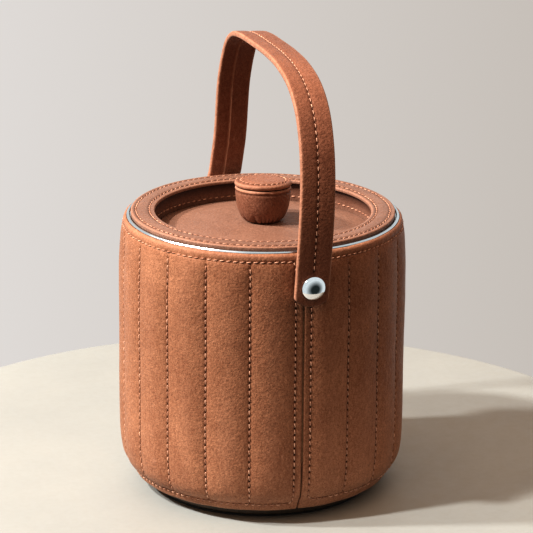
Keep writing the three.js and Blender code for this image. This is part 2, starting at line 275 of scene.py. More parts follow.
# ---- node materials ----------------------------------------------------------------------------
def plug(tree, socket, value):
    if isinstance(value, (int, float)):
        socket.default_value = value
    elif isinstance(value, tuple):
        socket.default_value = (*value, 1.0) if len(value) == 3 and socket.type == "RGBA" else value
    elif value is not None:
        tree.links.new(value, socket)


def wire(tree, kind, output, inputs=(), **settings):
    """Adds a node with its inputs plugged, from (label or number, value) pairs, and returns one output."""
    node = tree.nodes.new(kind)
    for key, value in settings.items():
        setattr(node, key, value)
    for label, value in dict(inputs).items():
        plug(tree, node.inputs[label], value)
    return node.outputs[output]


class Nodes:
    """A short way to wire a material's nodes. Scales are per metre, on the object's own coordinates."""

    def __init__(self, name):
        self.material = bpy.data.materials.new(name)
        self.material.use_nodes = True
        self.tree = self.material.node_tree
        self.shader = self.tree.nodes["Principled BSDF"]
        self.place = self.wire("ShaderNodeTexCoord", "Object")

    def wire(self, kind, output, inputs=(), **settings):
        return wire(self.tree, kind, output, inputs, **settings)

    def noise(self, scale, detail=4.0, roughness=0.55, stretch=(1, 1, 1), warp=0.0):
        inputs = {"Scale": scale, "Detail": detail, "Roughness": roughness, "Distortion": warp}
        inputs["Vector"] = self.wire("ShaderNodeMapping", "Vector", {"Scale": stretch, "Vector": self.place})
        return self.wire("ShaderNodeTexNoise", "Fac", inputs)

    def cells(self, scale, feature):
        inputs = {"Scale": scale, "Vector": self.place}
        return self.wire("ShaderNodeTexVoronoi", "Distance", inputs, feature=feature)

    def mark(self, label):
        return self.wire("ShaderNodeAttribute", "Fac", attribute_name=label)

    def spread(self, source, low, high, to_low=0.0, to_high=1.0):
        inputs = {"Value": source, "From Min": low, "From Max": high, "To Min": to_low, "To Max": to_high}
        return self.wire("ShaderNodeMapRange", "Result", inputs)

    def maths(self, operation, first, second):
        return self.wire("ShaderNodeMath", "Value", {0: first, 1: second}, operation=operation)

    def blend(self, *weighted):
        """A sum of (source, weight) pairs."""
        total = self.maths("MULTIPLY", *weighted[0])
        for source, weight in weighted[1:]:
            total = self.maths("ADD", total, self.maths("MULTIPLY", source, weight))
        return total

    def mix(self, factor, first, second):
        return self.wire("ShaderNodeMix", 2, {0: factor, 6: first, 7: second}, data_type="RGBA")

    def bump(self, height, strength, distance, under=None):
        inputs = {"Height": height, "Strength": strength, "Distance": distance, "Normal": under}
        return self.wire("ShaderNodeBump", "Normal", inputs)

    def finish(self, colour, roughness, normal=None, **constants):
        for label, value in constants.items():
            self.shader.inputs[label.replace("_", " ")].default_value = value
        for label, value in (("Base Color", colour), ("Roughness", roughness), ("Normal", normal)):
            plug(self.tree, self.shader.inputs[label], value)
        return self.material


def srgb(red, green, blue):
    """Linear colour from 0 to 255 screen values."""
    share = np.array((red, green, blue)) / 255
    linear = np.where(share <= 0.04045, share / 12.92, ((share + 0.055) / 1.055) ** 2.4)
    return tuple(float(value) for value in linear)


# Dark tone of the grain's veins and pores, used as well for painted shade in creases and grooves.
CREASE = srgb(90, 48, 29)
# Painted shade for needle holes and the deepest grooves.
PAINTED_HOLE_SHADE = srgb(44, 22, 13)
# Pale tone of scuffs and worn edges, used as well for a painted highlight.
RUBBED_AND_SHEEN = srgb(208, 158, 132)


def leather(name, light, dark, grain, shine):
    """Aniline leather: cloudy tone, pebbled grain with dark pores, painted shade in creases and needle holes,
    and paler worn edges, with a painted highlight along the strap's inner seam.
    """
    n = Nodes(name)
    clouds = n.spread(n.noise(16, 5, 0.6, warp=0.5), 0.32, 0.68)
    mottle = n.spread(n.noise(120, 5, 0.7, warp=0.4), 0.36, 0.64)
    speckle = n.spread(n.noise(620, 4, 0.7, (1, 1, 0.5)), 0.38, 0.62)
    colour = n.mix(n.blend((clouds, 0.42), (mottle, 0.22), (speckle, 0.36)), dark, light)
    veins = n.spread(n.cells(430, "DISTANCE_TO_EDGE"), 0.0, 0.12, 0.3 * grain, 0.0)
    colour = n.mix(n.maths("MULTIPLY", veins, mottle), colour, CREASE)
    pores = n.spread(n.noise(1300, 3, 0.65), 0.36, 0.5, 0.45 * grain, 0.0)
    colour = n.mix(pores, colour, CREASE)
    scuffs = n.spread(n.noise(300, 4, 0.75, (1, 1, 0.5), warp=0.8), 0.58, 0.74, 0.0, 0.4)
    colour = n.mix(scuffs, colour, RUBBED_AND_SHEEN)
    # Painted shade: darker in grooves and creases, darkest in needle holes.
    crease = n.mark("crease")
    colour = n.mix(n.maths("MULTIPLY", crease, 0.85), colour, CREASE)
    colour = n.mix(n.spread(crease, 0.55, 1.0, 0.0, 0.9), colour, PAINTED_HOLE_SHADE)
    # Paler on worn edges, and a painted highlight along the strap's inner seam.
    rubbed_and_sheen = n.maths("MULTIPLY", n.mark("wear"), n.spread(n.noise(260, 3, 0.6), 0.3, 0.6, 0.4, 0.9))
    colour = n.mix(rubbed_and_sheen, colour, RUBBED_AND_SHEEN)
    rough = n.spread(n.noise(300, 4, 0.6), 0.3, 0.7, 0.42, 0.6)
    pebble = n.blend((n.cells(620, "SMOOTH_F1"), 0.9), (n.noise(1200, 3, 0.6), 0.9))
    normal = n.bump(n.noise(170, 5, 0.7), 0.2, 0.0009)
    normal = n.bump(pebble, 0.6 * grain, 0.00045, normal)
    return n.finish(colour, rough, normal, Specular_IOR_Level=shine, Sheen_Weight=0.03, Sheen_Roughness=0.5)


def thread_material():
    n = Nodes("thread")
    tone = n.mix(n.mark("tone"), srgb(158, 98, 68), srgb(246, 202, 174))
    twist = n.noise(900, 2, 0.5, (1, 1, 2.5))
    colour = n.mix(n.spread(twist, 0.35, 0.65, 0, 0.3), tone, srgb(120, 60, 36))
    return n.finish(colour, n.spread(twist, 0.3, 0.7, 0.45, 0.65), n.bump(twist, 0.5, 0.0002))


def steel(name, tone, rough, grain):
    """Brushed metal: fine lines in one direction, and faint cloudy wear."""
    n = Nodes(name)
    lines = n.noise(1, 3, 0.6, grain)
    wear = n.spread(n.noise(45, 4, 0.6), 0.35, 0.65, 0.0, 0.07)
    roughness = n.maths("ADD", n.spread(lines, 0.3, 0.7, rough - 0.05, rough + 0.07), wear)
    colour = n.mix(n.spread(lines, 0.3, 0.7), tuple(0.88 * part for part in tone), tone)
    return n.finish(colour, roughness, n.bump(lines, 0.12, 0.0001), Metallic=1.0)


def chrome():
    n = Nodes("chrome")
    scratches = n.noise(700, 2, 0.5, (1, 6, 1))
    colour = n.mix(n.spread(scratches, 0.4, 0.6), (0.83, 0.84, 0.85), (0.9, 0.9, 0.91))
    roughness = n.spread(n.noise(220, 4, 0.6), 0.35, 0.7, 0.04, 0.11)
    return n.finish(colour, roughness, n.bump(scratches, 0.03, 0.0001), Metallic=1.0)


def speckled(name, dark, light, scale, rough, bumpiness):
    """A matt material with specks and faint clouds: board, foam, wadding or rubber."""
    n = Nodes(name)
    specks = n.noise(scale, 5, 0.65)
    colour = n.mix(n.spread(specks, 0.3, 0.7), dark, light)
    colour = n.mix(n.spread(n.noise(18, 3, 0.5), 0.3, 0.7, 0, 0.3), colour, dark)
    roughness = n.spread(specks, 0.3, 0.7, rough - 0.08, rough)
    return n.finish(colour, roughness, n.bump(specks, bumpiness, 0.0004))


def wood(name, dark, light):
    n = Nodes(name)
    figure = n.noise(22, 5, 0.65, (6, 6, 0.6))
    pores = n.noise(420, 3, 0.5, (1, 1, 0.2))
    colour = n.mix(n.spread(figure, 0.35, 0.65), dark, light)
    colour = n.mix(n.spread(pores, 0.3, 0.45, 0.35, 0), colour, tuple(0.5 * part for part in dark))
    return n.finish(colour, n.spread(pores, 0.3, 0.6, 0.55, 0.4), n.bump(pores, 0.2, 0.0003))


def table_top():
    n = Nodes("table_top")
    colour = n.mix(n.spread(n.noise(9, 4, 0.6), 0.3, 0.7), srgb(167, 173, 173), srgb(174, 180, 179))
    colour = n.mix(n.spread(n.noise(240, 3, 0.5), 0.35, 0.6, 0.08, 0), colour, srgb(148, 148, 140))
    rough = n.spread(n.noise(90, 3, 0.5), 0.3, 0.7, 0.5, 0.62)
    return n.finish(colour, rough, n.bump(n.noise(350, 3), 0.06, 0.0003))


MATERIALS = {
    "jacket": leather("jacket_leather", srgb(204, 151, 119), srgb(143, 94, 69), 1.0, 0.14),
    "lid": leather("lid_leather", srgb(166, 130, 113), srgb(126, 92, 76), 0.8, 0.3),
    "knob": leather("knob_leather", srgb(174, 124, 102), srgb(120, 79, 60), 0.9, 0.16),
    "strap": leather("strap_leather", srgb(177, 124, 99), srgb(128, 82, 62), 1.0, 0.16),
    "thread": thread_material(),
    "steel": steel("liner_steel", (0.74, 0.75, 0.76), 0.17, (60, 60, 2500)),
    "chrome": chrome(),
    "bolt": steel("bolt_steel", (0.6, 0.61, 0.62), 0.35, (300, 300, 900)),
    "brass": steel("brass", (0.72, 0.53, 0.24), 0.3, (300, 300, 900)),
    "plinth": wood("plinth", srgb(62, 50, 38), srgb(92, 75, 58)),
    "beech": wood("beech", srgb(160, 112, 70), srgb(196, 150, 102)),
    "rubber": speckled("black_rubber", srgb(26, 24, 22), srgb(48, 45, 42), 900, 0.85, 0.3),
    "board": speckled("fibreboard", srgb(110, 86, 62), srgb(156, 128, 98), 320, 0.95, 0.5),
    "foam": speckled("foam", srgb(214, 204, 182), srgb(238, 231, 216), 700, 0.98, 0.6),
    "wadding": speckled("wadding", srgb(196, 186, 166), srgb(232, 225, 212), 240, 1.0, 0.8),
    "table": table_top(),
}


# ---- stitching ---------------------------------------------------------------------------------
class Stitching:
    """Collects the stitches of one body, each a raised length of thread that dives into two needle holes."""

    RINGS = 7
    SIDES = 6
    SINK = 0.5

    def __init__(self, tone_range):
        self.points = []
        self.faces = []
        self.tones = []
        self.tone_range = tone_range

    def row(self, holes, normals, radius=0.38, slant=0.25, lift=0.45):
        """One stitch between each pair of neighbouring holes."""
        lifts = np.broadcast_to(lift, len(holes) - 1)
        for a, b, na, nb, rise in zip(holes[:-1], holes[1:], normals[:-1], normals[1:], lifts):
            along = b - a
            up = (na + nb) / np.linalg.norm(na + nb)
            side = np.cross(up, along)
            side /= np.linalg.norm(side)
            drift = side * rng.normal(0, 0.06)
            start = a + 0.12 * along - side * slant + drift
            self.stitch(start, b - 0.12 * along + side * slant + drift, up, radius, rise)

    def stitch(self, start, end, up, radius, lift):
        t = np.linspace(0, 1, self.RINGS)
        height = lift * np.sin(np.pi * t) ** 0.6 - self.SINK * np.abs(2 * t - 1) ** 6
        centre = start + np.outer(t, end - start) + np.outer(height, up)
        side = np.cross(up, end - start)
        side /= np.linalg.norm(side)
        width = radius * rng.uniform(0.92, 1.06) * (0.6 + 0.4 * np.sin(np.pi * t) ** 0.5)
        angle = np.arange(self.SIDES) * 2 * np.pi / self.SIDES
        circle = np.cos(angle)[:, None] * side + np.sin(angle)[:, None] * up
        first = len(self.points) * self.RINGS * self.SIDES
        last = first + (self.RINGS - 1) * self.SIDES
        self.points.append((centre[:, None] + width[:, None, None] * circle).reshape(-1, 3))
        self.faces += [[first + k for k in quad] for quad in grid_faces(self.RINGS, self.SIDES, False, True)]
        self.faces.append([first + k for k in range(self.SIDES)])
        self.faces.append([last + k for k in reversed(range(self.SIDES))])
        self.tones.append(np.full(self.RINGS * self.SIDES, rng.uniform(*self.tone_range)))

    def ring(self, radius, z, count, thickness, rise=1.0):
        """A row round the axis; `rise` is 1 on a surface that faces up and 0 on one that faces the axis."""
        degrees = np.arange(count + 1) * 360 / count
        normals = around(rise - 1.0, degrees, rise)
        self.row(around(radius, degrees, z), normals, thickness)

    def build(self, name, body):
        points = np.vstack(self.points)
        make_piece(name, points, self.faces, body, "thread", {"tone": np.concatenate(self.tones)})


# ---- jacket ------------------------------------------------------------------------------------
class Panel:
    """A quilted leather panel. A place on it is x, round from its front seam, and s, up its outline."""

    def __init__(self, side, sign, low_row_z, corner):
        self.side = side
        self.sign = sign
        sweep = REAR_SEAM - FRONT_SEAM if sign > 0 else 360 - REAR_SEAM + FRONT_SEAM
        self.length = math.radians(sweep) * BODY_R
        self.outline = spline(JACKET_OUTLINE, STITCH / 6)
        self.s = arc_length(self.outline)
        slope = np.gradient(self.outline, axis=0)
        slope /= np.linalg.norm(slope, axis=1)[:, None]
        self.normal = np.stack([slope[:, 1], -slope[:, 0]], -1)
        upward = self.outline[:, 1] > 8.5
        ends = (low_row_z, TOP_ROW_Z)
        self.low, self.top = (np.interp(z, self.outline[upward, 1], self.s[upward]) for z in ends)
        self.corner = corner
        self.pitch = (self.length - 2 * SEAM_ROW) / CHANNELS
        self.rows = SEAM_ROW + self.pitch * np.arange(1, CHANNELS)
        self.holes = [*(self.row_holes(row) for row in self.rows), self.loop_holes()]

    def row_holes(self, row):
        s = np.arange(self.low + 0.5 * STITCH, self.top - 0.4 * STITCH, STITCH)
        return np.stack([np.full_like(s, row), s], -1)

    def loop_holes(self):
        """The row that runs round the panel, a rectangle with rounded corners."""
        c = self.corner
        turn = np.linspace(0, np.pi / 2, 10)
        line = []
        for quarter in range(4):
            right = quarter in (0, 1)
            upper = quarter in (1, 2)
            x = self.length - SEAM_ROW - c if right else SEAM_ROW + c
            s = self.top - c if upper else self.low + c
            angle = turn + (quarter - 1) * np.pi / 2
            line.append(np.stack([x + c * np.cos(angle), s + c * np.sin(angle)], -1))
        line.append(line[0][:1])
        return resample(np.vstack(line), STITCH)

    def inside(self, x, s):
        """Distance from that row, positive inside it."""
        dx = np.abs(x - self.length / 2) - self.length / 2 + SEAM_ROW + self.corner
        ds = np.abs(s - (self.top + self.low) / 2) - (self.top - self.low) / 2 + self.corner
        beyond = np.hypot(np.maximum(dx, 0), np.maximum(ds, 0))
        return self.corner - beyond - np.minimum(np.maximum(dx, ds), 0)

    def relief(self, x, s):
        """How far the leather lies below its fullest surface, needle holes aside."""
        inside = self.inside(x, s)
        near = np.min(np.abs(x[..., None] - self.rows), axis=-1)
        within = smoothstep(-0.8, 0.8, inside)
        to_seam = np.minimum(x, self.length - x)
        across = (x - SEAM_ROW) / self.pitch
        off_middle = np.where(to_seam < SEAM_ROW, 1, 2 * np.abs(across - np.round(across - 0.5) - 0.5))
        to_end = np.minimum(s - self.low, self.top - s)
        depth = CROWN * (0.15 + 0.85 * smoothstep(-1, 20, to_end)) * off_middle**2
        channel = 0.35 + 0.35 * smoothstep(0, 14, to_end)
        depth += 0.55 * groove(np.abs(inside), 1.9) + within * channel * groove(near, 2.0)
        depth += 0.1 * within * np.cos(2 * np.pi * (s - self.low) / STITCH) * np.exp(-near / 2.4)
        depth += within * (0.2 * sway(x, s, 17) + 0.07 * sway(x, s, 4.1))
        depth += 0.9 * smoothstep(1.5, 0.35, to_seam) ** 2
        full = np.maximum(depth, 0)
        return full / (1 + (full / 2.4) ** 4) ** 0.25 + np.minimum(depth, 0)

    def pits(self, x, s):
        """Needle holes on the grid that x and s span, each added only near its own place."""
        depth = np.zeros((len(x), len(s)))
        for hx, hs in np.vstack(self.holes):
            i = slice(*np.searchsorted(x, (hx - 2, hx + 2)))
            j = slice(*np.searchsorted(s, (hs - 2, hs + 2)))
            depth[i, j] += np.exp(-(((x[i, None] - hx) / 0.7) ** 2) - ((s[None, j] - hs) / 0.8) ** 2)
        return np.minimum(depth, 1)

    def degrees(self, x):
        return FRONT_SEAM + self.sign * np.degrees(x / BODY_R)

    def surface(self, x, s, depth):
        """Points at that depth below the fullest surface, and outward normals."""
        r, z = (np.interp(s, self.s, self.outline[:, k]) for k in (0, 1))
        nr, nz = (np.interp(s, self.s, self.normal[:, k]) for k in (0, 1))
        angle = self.degrees(x)
        return around(r - depth * nr, angle, z - depth * nz), around(nr, angle, nz)

    def columns(self):
        """Columns about 2 mm apart, closer together beside every row and at both seams."""
        near = np.array([0.4, 0.9, 1.5, 2.3, 3.3])
        edge = np.array([0.35, 0.5, 0.75, 1.1, 1.6])
        rows = [SEAM_ROW, *self.rows, self.length - SEAM_ROW]
        fixed = [edge, self.length - edge, *([row] + list(row + near) + list(row - near) for row in rows)]
        fixed = np.sort(np.concatenate(fixed))
        fine = [fixed[0]]
        for value in fixed[1:]:
            if value - fine[-1] > 0.12:
                count = max(1, round((value - fine[-1]) / 2.2))
                fine += list(np.linspace(fine[-1], value, count + 1)[1:])
        return np.array(fine)

    def build(self):
        x = self.columns()
        grid_x, grid_s = np.meshgrid(x, self.s, indexing="ij")
        pits = self.pits(x, self.s)
        relief = self.relief(grid_x, grid_s)
        outer, _ = self.surface(grid_x, grid_s, np.minimum(relief + 0.4 * pits, 2.6))
        back = np.append(np.arange(0, len(self.s) - 1, 3), len(self.s) - 1)
        inner, _ = self.surface(grid_x[:, back], grid_s[:, back], relief[:, back] + LEATHER_T)
        points = np.concatenate([outer, inner], axis=1)
        faces = self.skin_faces(*points.shape[:2], back)
        marks = self.skin_marks(grid_s, relief, pits, np.zeros((len(x), len(back))))
        name = f"jacket_{self.side}"
        node = f"leather_panel_{self.side}"
        points = points.reshape(-1, 3)
        piece = make_piece(name, points, faces, "bucket", "jacket", marks, [node])

    def skin_faces(self, count, width, back):
        """Faces of the outer and the inner skin, joined along the panel's four edges."""
        m = len(self.s)
        faces = [face for face in grid_faces(count, width) if face[0] % width != m - 1]
        faces = [face if face[0] % width < m else face[::-1] for face in faces]
        for a in range(0, (count - 1) * width, width):
            b = a + width
            faces.append([a, a + m, b + m, b])
            faces.append([a + m - 1, b + m - 1, b + width - 1, a + width - 1])
        for base in (0, (count - 1) * width):
            for k, (low, high) in enumerate(zip(back[:-1], back[1:])):
                run = [base + j for j in range(low, high + 1)]
                faces.append([*run, base + m + k + 1, base + m + k])
        return faces

    def skin_marks(self, s, relief, pits, spare):
        """Painted shade where the leather lies low and in its needle holes, and on the hidden inner skin;
        paler on its lip and where it is fullest.
        """
        lip = np.exp(-(((s - self.s[-1] + 2.2) / 1.5) ** 2))
        crease = np.clip(smoothstep(1.3, 2.3, relief) * 0.6 + pits, 0, 1)
        wear = np.clip(0.3 * lip + 0.15 * smoothstep(0.3, -0.2, relief), 0, 1)
        return {
            # The hidden inner skin is given a flat painted shade.
            "crease": np.concatenate([crease, spare + 0.5], axis=1),
            "wear": np.concatenate([wear, spare], axis=1),
        }

    def pad_out(self):
        """The wadding under the leather, clear of the backing strips at both seams."""
        upward = self.outline[:, 1] > 20
        low, high = (np.interp(z, self.outline[upward, 1], self.s[upward]) for z in (44, 150))
        columns = np.linspace(BACKING_HALF, self.length - BACKING_HALF, 10 * CHANNELS + 1)
        x, s = np.meshgrid(columns, np.linspace(low, high, 28), indexing="ij")
        outer, _ = self.surface(x, s, self.relief(x, s) + LEATHER_T + 0.05)
        inner = around(CORE_R + 0.15, self.degrees(x), outer[..., 2])
        points = np.concatenate([outer.reshape(-1, 3), inner.reshape(-1, 3)])
        faces = shell_faces(*x.shape)
        name = f"wadding_{self.side}"
        node = f"padding_{self.side}"
        piece = make_piece(name, points, faces, "bucket", "wadding", replaces=[node])

    def sew(self, stitching):
        for holes in self.holes:
            x, s = holes.T
            low = (s < self.low + 1)[:-1]
            stitching.row(*self.surface(x, s, self.relief(x, s)), lift=np.where(low, 0.9, 0.45))


def build_jacket():
    stitching = Stitching((0.3, 1.0))
    for panel in (Panel("left", -1, 13.2, 1.5), Panel("right", 1, 15.4, 6.0)):
        panel.build()
        panel.pad_out()
        panel.sew(stitching)
    stitching.build("jacket_stitching", "bucket")


# ---- tub, foot and studs -----------------------------------------------------------------------
def build_tub():
    outline = rounded([
        (0, TUB_LOW, 0), (78.2, TUB_LOW, 5), (78.2, RIM_Z - 0.8, 0.8), (RIM_R - 1.6, RIM_Z - 0.8, 0),
        (RIM_R, RIM_Z - 0.8, 0.2), (RIM_R, RIM_Z + 0.3, 0.5), (RIM_R - 0.6, RAISED_BEAD, 0.5),
        (RIM_R - 1.8, RAISED_BEAD, 0.4), (RIM_R - 2.1, RIM_Z, 0.2),
        (TUB_R, RIM_Z, 1.6), (TUB_R, TUB_LOW + 0.8, 4.2), (0, TUB_LOW + 0.8, 0),
    ], 2.5, 7)
    turned("tub", outline, "bucket", "steel", 256, False, replaces=["liner_inner_tub"])


def build_foot():
    disc = rounded([
        (0, FOOT_LOW, 0), (FOOT_R, FOOT_LOW, 1.2), (FOOT_R, FOOT_TOP, 0.8), (0, FOOT_TOP, 0),
    ], 3)
    turned("plinth_disc", disc, "bucket", "plinth", 192, False, replaces=["foot_disc"])
    pad = rounded([(0, 0, 0), (PAD_R, 0, 0.3), (PAD_R, PAD_TOP, 0.3), (0, PAD_TOP, 0)], 3)
    turned("foot_pad_disc", pad, "bucket", "rubber", 192, False, replaces=["foot_pad"])


def build_studs():
    """A shank with a shallow domed head over a low straight rim."""
    face = STRAP_S + STRAP_T / 2 + 0.3
    head_r = STUD_R + 0.2
    edge = 1.1
    bend = math.radians(45)
    rise = head_r * math.tan(bend / 2)
    tilt = np.linspace(bend, 0, 22)
    dome_r = head_r * np.sin(tilt) / math.sin(bend)
    dome = face + edge + rise * (np.cos(tilt) - math.cos(bend)) / (1 - math.cos(bend))
    shank = [(0, 84.3), (2.1, 84.3), (2.1, face)]
    shank += [(head_r - 0.5, face), (head_r - 0.1, face + 0.3), (head_r, face + 0.6)]
    outline = np.vstack([shank, np.stack([dome_r, dome], -1)])
    for end, sign in (("front", 1), ("rear", -1)):
        def place(r, degrees, along, sign=sign):
            return about_pivot(r, degrees, along, sign)

        node = f"handle_stud_{end}"
        turned(f"stud_{end}", outline, "bucket", "chrome", 96, False, replaces=[node], place=place)


# ---- lid ---------------------------------------------------------------------------------------
RING_ROWS = (LID_R - 3.5, WELL_EDGE_R + 3.7)
WELL_ROW_Z = 175.6


def row_count(radius):
    return round(2 * math.pi * radius / STITCH)


def arc_pits(distance, row_radius, degrees):
    return needle_pit(distance, degrees / 360 * row_count(row_radius))


def build_lid_ring(stitching):
    outline = rounded([
        (LID_R - 1.3, LID_LOW, 0), (LID_R, LID_LOW, 0.5), (LID_R, LID_TOP, 1.8), (WELL_EDGE_R, LID_TOP, 2.2),
        (WELL_EDGE_R, LID_LOW + 0.6, 0.6), (WELL_EDGE_R + 1.2, LID_LOW + 0.6, 0),
        (WELL_EDGE_R + 1.2, LID_TOP - 1.2, 0), (LID_R - 1.3, LID_TOP - 1.2, 0),
    ], 0.7)
    depth = 0.62

    def shape(r, z, degrees):
        top = smoothstep(LID_TOP - 0.9, LID_TOP - 0.3, z)
        middle = (r - sum(RING_ROWS) / 2) / (RING_ROWS[0] - RING_ROWS[1]) * 2
        down = 0.12 * sway(r, degrees, 9) + 0.2 * np.clip(np.abs(middle), 0, 1) ** 3
        for row in RING_ROWS:
            near = np.abs(r - row)
            down = down + depth * groove(near, 1.5) + 0.5 * arc_pits(near, row, degrees)
        return r, z - top * down

    def marks(r, z, degrees):
        top = smoothstep(LID_TOP - 0.9, LID_TOP - 0.3, z)
        # Painted shade in the grooves and needle holes of both rows; both rounded edges are paler.
        crease = 0
        for row in RING_ROWS:
            near = np.abs(r - row)
            crease = crease + (0.5 * groove(near, 0.9) + arc_pits(near, row, degrees))
        edge = smoothstep(2.2, 0.4, np.minimum(LID_R - r, r - WELL_EDGE_R))
        edge = edge * smoothstep(LID_TOP - 1.8, LID_TOP - 0.4, z)
        return {"crease": np.clip(crease * top, 0, 1), "wear": 0.55 * edge}

    turned("lid_ring", outline, "lid", "lid", 702, True, shape, ["lid_ring_leather"], marks)
    for row in RING_ROWS:
        stitching.ring(row, LID_TOP - depth - 0.25, row_count(row), 0.33)


def build_lid_well(stitching):
    outer = WELL_R + 1.3
    low, high = 170.6, 184.9
    outline = rounded([(WELL_R, low, 0.3), (outer, low, 0.3), (outer, high, 0.3), (WELL_R, high, 0.4)], 0.6)

    def shape(r, z, degrees):
        near = np.abs(z - WELL_ROW_Z)
        face = smoothstep(outer - 0.4, WELL_R + 0.3, r)
        down = 0.5 * groove(near, 1.4) + 0.3 * arc_pits(near, WELL_R, degrees) + 0.1 * sway(z, degrees, 7)
        return r + face * down, z

    def marks(r, z, degrees):
        near = np.abs(z - WELL_ROW_Z)
        # Painted shade along the top of the wall, under the ring's overhanging lip, and in the row's groove
        # and needle holes.
        shade = smoothstep(LID_LOW - 0.7, LID_LOW - 0.3, z)
        return {"crease": np.clip(0.5 * groove(near, 0.9) + arc_pits(near, WELL_R, degrees) + shade, 0, 1)}

    turned("lid_well", outline, "lid", "lid", 618, True, shape, ["lid_well_leather"], marks)
    stitching.ring(WELL_R + 0.4, WELL_ROW_Z, row_count(WELL_R), 0.45, 0)


def floor_height(r):
    return FLOOR_EDGE_Z + FLOOR_RISE * (1 - np.clip(r / (WELL_R - 0.3), 0, 1) ** 2.4)


def build_lid_floor():
    """A smooth dome, pulled a little flatter under the knob."""
    edge = WELL_R - 0.3
    over = np.linspace(3, edge - 0.4, 64)
    under = np.linspace(edge, 3, 20)
    top = np.stack([over, floor_height(over)], -1)
    bottom = np.stack([under, floor_height(under) - 1.4], -1)

    def shape(r, z, degrees):
        x, y = r * np.sin(np.radians(degrees)), r * np.cos(np.radians(degrees))
        return r, z - 0.1 * (1 + sway(x, y, 13)) * (r > 20)

    def marks(r, z, degrees):
        return {"wear": np.full_like(r, 0.1)}

    outline = np.vstack([top, [(edge, FLOOR_EDGE_Z - 0.5)], bottom])
    turned("lid_floor", outline, "lid", "lid", 256, True, shape, ["lid_floor_leather"], marks)


def build_pan_and_gasket():
    wall_out, wall_in = 75.9, 75.1
    flange = 184.3
    outline = rounded([
        (0, PLUG_Z, 0), (wall_out, PLUG_Z, 3), (wall_out, flange, 0.5), (LID_R - 1.6, flange, 0),
        (LID_R - 1.6, flange + 0.6, 0), (wall_in, flange + 0.6, 0.6), (wall_in, PLUG_Z + 0.8, 2.2),
        (0, PLUG_Z + 0.8, 0),
    ], 2.5)
    turned("pan", outline, "lid", "steel", 256, False, replaces=["lid_pan"])
    low, high = 176.0, 181.0
    seal = rounded([(76.2, low, 0.2), (77.1, low, 0.4), (77.1, high, 0.4), (76.2, high, 0.2)], 0.8)

    def shape(r, z, degrees):
        return r - 0.25 * (r > 76.5) * (0.5 - 0.5 * np.cos((z - low) / (high - low) * 6 * np.pi)), z

    turned("gasket", seal, "lid", "rubber", 256, True, shape, ["lid_gasket"])


# ---- knob --------------------------------------------------------------------------------------
KNOB_SIDE = [
    (10.4, 180.3), (12.2, 180.9), (14.2, 182.6), (15.8, 185.6), (17.1, 189.6), (17.9, 194), (18.4, 198.6),
    (18.5, 201.6),
]
LIP_TOP = 203.0
ROLL_R = 17.0
ROLL_Z = 205.2
CAP_R = 15.9
CAP_STITCHES = 25


def knob_place(radius, degrees, z):
    """The knob's upper part tips back a little: it is lower on the side away from the camera."""
    points = around(radius, degrees, z)
    heading = math.radians(VIEW_HEADING)
    backward = points[..., 0] * math.sin(heading) + points[..., 1] * math.cos(heading)
    points[..., 2] -= KNOB_LEAN * backward * smoothstep(181, 198, points[..., 2])
    return points


def knob_piece(name, outline, steps, closed, shape, node, marks):
    turned(name, outline, "lid", "knob", steps, closed, shape, [node], marks, knob_place)


def build_knob(stitching):
    build_knob_side()
    build_knob_roll()
    build_knob_cap(stitching)


def build_knob_roll():
    """The rolled rim between the side and the cap."""
    turn = np.linspace(0, 2 * np.pi, 29)[:-1]
    outline = np.stack([ROLL_R + 1.8 * np.cos(turn), ROLL_Z + 1.75 * np.sin(turn)], -1)

    def shape(r, z, degrees):
        swell = 1 + 0.06 * sway(degrees, z, 13) + 0.03 * sway(degrees, z, 5)
        return ROLL_R + (r - ROLL_R) * swell, ROLL_Z + (z - ROLL_Z) * swell

    def marks(r, z, degrees):
        # Painted shade on the underside of the roll; its outer half is paler.
        crease = smoothstep(ROLL_Z - 1.1, ROLL_Z - 1.6, z)
        return {"wear": 0.75 * smoothstep(17.4, 18.7, r), "crease": crease}

    knob_piece("knob_roll", outline, 192, True, shape, "knob_bead", marks)


def pleat_fold(degrees):
    """From 0 in the bottom of a pleat to 1 on its back, in uneven steps round the knob."""
    turn = np.radians(degrees)
    return np.abs(np.sin(11 * turn + 1.5 * np.sin(3 * turn) + 0.7 * np.sin(5 * turn + 1)))


def build_knob_side():
    """A bowl of leather, gathered into pleats at its foot and rolled over at its lip."""
    outer = spline(KNOB_SIDE, 0.5)
    turn = np.linspace(0.1, np.pi / 2, 7)
    lip = np.stack([17.4 + 1.1 * np.cos(turn), LIP_TOP - 1.3 + 1.3 * np.sin(turn)], -1)
    inner = [
        (16.2, LIP_TOP), (16.2, 200), (15.9, 196), (14.7, 190), (13, 184.9), (10.8, 181.6), (5, 181.5),
        (5, 180.3),
    ]
    outline = np.vstack([outer, lip, inner])
    skin = np.arange(len(outline))[None] < len(outer)

    def shape(r, z, degrees):
        turn = np.radians(degrees)
        pleat = 1.1 * smoothstep(188, 181, z) * (1 - pleat_fold(degrees)) ** 1.3
        slanted = turn + 0.06 * (z - 190)
        high = smoothstep(191, 197, z) * smoothstep(202, 200.5, z)
        crimp = 0.22 * high * np.sin(34 * slanted + 2 * np.sin(5 * turn)) * (0.5 + 0.5 * np.sin(4 * turn))
        sag = 0.2 * sway(degrees, 2 * z, 23) + 0.12 * sway(degrees, 3 * z, 8)
        fold = 0.5 * np.exp(-(((z - 200.3) / 0.8) ** 2))
        return r - skin * (pleat + crimp + sag + fold), z

    def marks(r, z, degrees):
        # Painted shade in the bottoms of the pleats and along the fold under the lip; the top of the lip is
        # paler.
        crease = 0.95 * smoothstep(187, 182, z) * (1 - pleat_fold(degrees)) ** 2
        crease += 0.4 * np.exp(-(((z - 200.3) / 0.9) ** 2)) * skin
        return {"crease": np.clip(crease, 0, 1), "wear": 0.9 * smoothstep(201, 202.3, z) * (r > 17)}

    knob_piece("knob_side", outline, 360, True, shape, "knob_side_leather", marks)


